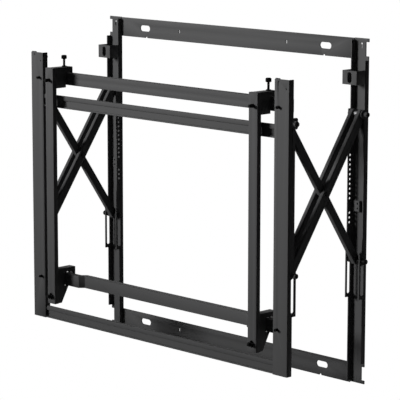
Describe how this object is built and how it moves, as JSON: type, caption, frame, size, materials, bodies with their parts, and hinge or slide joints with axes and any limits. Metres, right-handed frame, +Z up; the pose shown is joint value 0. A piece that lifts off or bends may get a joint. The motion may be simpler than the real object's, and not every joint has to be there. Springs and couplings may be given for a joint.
{
  "type": "video wall mount",
  "caption": "Pull-out scissor wall mount for a video wall screen: slotted wall frame, paired scissor arms, front frame with two adjustable hanging bars and sliding display brackets.",
  "frame": {"origin": "middle of the four wall slots, on the wall plane", "axes": "+Z up, +Y into the wall, +X to the viewer's right when facing the wall"},
  "size_m": [0.6686, 0.2206, 0.598],
  "materials": {
    "powder_coat": "fine-textured black powder coat",
    "black_steel": "blackened steel of pins, screws and nuts",
    "nylon": "black moulded nylon"
  },
  "bodies": {
    "wall_frame": {"wall_plate_top": "powder_coat", "wall_plate_bottom": "powder_coat", "wall_rail_left": "powder_coat", "wall_rail_right": "powder_coat", "latch_strap_left": "powder_coat", "latch_strap_right": "powder_coat", "anchor_tab_left": "powder_coat", "anchor_tab_right": "powder_coat", "rear_pivot_bolts": "black_steel"},
    "outer_arm_right": {"outer_arm_right": "powder_coat", "outer_spacers_right": "black_steel", "center_pivot_right": "black_steel", "front_slide_pin_right": "black_steel"},
    "inner_arm_right": {"inner_arm_right": "powder_coat", "inner_spacers_right": "black_steel", "rear_slide_pin_right": "black_steel"},
    "outer_arm_left": {"outer_arm_left": "powder_coat", "outer_spacers_left": "black_steel", "center_pivot_left": "black_steel", "front_slide_pin_left": "black_steel"},
    "inner_arm_left": {"inner_arm_left": "powder_coat", "inner_spacers_left": "black_steel", "rear_slide_pin_left": "black_steel"},
    "front_frame": {"front_rail_left": "powder_coat", "front_rail_right": "powder_coat", "cross_bar_top": "powder_coat", "cross_bar_bottom": "powder_coat", "front_pivot_bolts": "black_steel", "latch_studs": "black_steel"},
    "hanging_bars": {"hanging_bar_top": "powder_coat", "hanging_bar_bottom": "powder_coat", "depth_nuts": "black_steel"},
    "depth_stud_top_left": {"depth_stud_top_left": "black_steel"},
    "depth_stud_top_right": {"depth_stud_top_right": "black_steel"},
    "depth_stud_bottom_left": {"depth_stud_bottom_left": "black_steel"},
    "depth_stud_bottom_right": {"depth_stud_bottom_right": "black_steel"},
    "foot_left": {"screw_foot_left": "nylon"},
    "foot_right": {"screw_foot_right": "nylon"},
    "bracket_left": {"display_channel_left": "powder_coat", "top_hook_left": "powder_coat", "lower_hook_left": "powder_coat", "press_nut_left": "black_steel", "display_screws_left": "black_steel"},
    "bracket_right": {"display_channel_right": "powder_coat", "top_hook_right": "powder_coat", "lower_hook_right": "powder_coat", "press_nut_right": "black_steel", "display_screws_right": "black_steel"},
    "thumb_left": {"thumb_screw_left": "black_steel"},
    "thumb_right": {"thumb_screw_right": "black_steel"},
    "lock_left": {"lock_nut_left": "black_steel"},
    "lock_right": {"lock_nut_right": "black_steel"}
  },
  "joints": [
    {"name": "scissor_fold", "type": "hinge", "parent": "wall_frame", "child": "outer_arm_right", "pos_m": [0.3088, -0.011, 0.1708], "axis": [1, 0, 0], "range_deg": [0, 29.2]},
    {"name": "cross_right", "type": "hinge", "parent": "outer_arm_right", "child": "inner_arm_right", "pos_m": [0.3088, -0.09725, 0.04503], "axis": [1, 0, 0], "range_deg": [-58.4, 0]},
    {"name": "front_frame_carry", "type": "hinge", "parent": "inner_arm_right", "child": "front_frame", "pos_m": [0.3088, -0.1835, 0.1708], "axis": [1, 0, 0], "range_deg": [0, 29.2]},
    {"name": "outer_left_fold", "type": "hinge", "parent": "wall_frame", "child": "outer_arm_left", "pos_m": [-0.3088, -0.011, 0.1708], "axis": [1, 0, 0], "range_deg": [0, 29.2]},
    {"name": "cross_left", "type": "hinge", "parent": "outer_arm_left", "child": "inner_arm_left", "pos_m": [-0.3088, -0.09725, 0.04503], "axis": [1, 0, 0], "range_deg": [-58.4, 0]},
    {"name": "depth_adjust", "type": "slide", "parent": "front_frame", "child": "hanging_bars", "axis": [0, 1, 0], "range_m": [0, 0.006]},
    {"name": "stud_top_left_turn", "type": "hinge", "parent": "front_frame", "child": "depth_stud_top_left", "pos_m": [-0.3023, -0.1957, 0.1973], "axis": [0, 1, 0], "range_deg": [-2180, 20]},
    {"name": "stud_top_right_turn", "type": "hinge", "parent": "front_frame", "child": "depth_stud_top_right", "pos_m": [0.3023, -0.1957, 0.1973], "axis": [0, 1, 0], "range_deg": [-2180, 20]},
    {"name": "stud_bottom_left_turn", "type": "hinge", "parent": "front_frame", "child": "depth_stud_bottom_left", "pos_m": [-0.3023, -0.1957, -0.1736], "axis": [0, 1, 0], "range_deg": [-2180, 20]},
    {"name": "stud_bottom_right_turn", "type": "hinge", "parent": "front_frame", "child": "depth_stud_bottom_right", "pos_m": [0.3023, -0.1957, -0.1736], "axis": [0, 1, 0], "range_deg": [-2180, 20]},
    {"name": "bracket_left_slide", "type": "slide", "parent": "hanging_bars", "child": "foot_left", "axis": [1, 0, 0], "range_m": [-0.023, 0.158]},
    {"name": "bracket_right_slide", "type": "slide", "parent": "hanging_bars", "child": "foot_right", "axis": [1, 0, 0], "range_m": [-0.158, 0.023]},
    {"name": "bracket_left_lift", "type": "slide", "parent": "foot_left", "child": "bracket_left", "axis": [0, 0, 1], "range_m": [-0.002, 0.0005]},
    {"name": "bracket_right_lift", "type": "slide", "parent": "foot_right", "child": "bracket_right", "axis": [0, 0, 1], "range_m": [-0.002, 0.0005]},
    {"name": "thumb_left_turn", "type": "hinge", "parent": "foot_left", "child": "thumb_left", "pos_m": [-0.258, -0.1742, 0.219], "axis": [0, 0, 1], "range_deg": [-235, 910]},
    {"name": "thumb_right_turn", "type": "hinge", "parent": "foot_right", "child": "thumb_right", "pos_m": [0.258, -0.1742, 0.219], "axis": [0, 0, 1], "range_deg": [-235, 910]},
    {"name": "lock_left_turn", "type": "hinge", "parent": "bracket_left", "child": "lock_left", "pos_m": [-0.258, -0.212, -0.2028], "axis": [0, 1, 0], "continuous": true},
    {"name": "lock_right_turn", "type": "hinge", "parent": "bracket_right", "child": "lock_right", "pos_m": [0.258, -0.212, -0.2028], "axis": [0, 1, 0], "continuous": true}
  ],
  "couplings": [
    {"joint": "cross_right", "follows": "scissor_fold", "ratio": -2},
    {"joint": "front_frame_carry", "follows": "scissor_fold", "ratio": 1},
    {"joint": "outer_left_fold", "follows": "scissor_fold", "ratio": 1},
    {"joint": "cross_left", "follows": "scissor_fold", "ratio": -2},
    {"joint": "stud_top_left_turn", "follows": "depth_adjust", "rad_per_m": -6283.2},
    {"joint": "stud_top_right_turn", "follows": "depth_adjust", "rad_per_m": -6283.2},
    {"joint": "stud_bottom_left_turn", "follows": "depth_adjust", "rad_per_m": -6283.2},
    {"joint": "stud_bottom_right_turn", "follows": "depth_adjust", "rad_per_m": -6283.2},
    {"joint": "thumb_left_turn", "follows": "bracket_left_lift", "rad_per_m": -7854},
    {"joint": "thumb_right_turn", "follows": "bracket_right_lift", "rad_per_m": -7854}
  ]
}
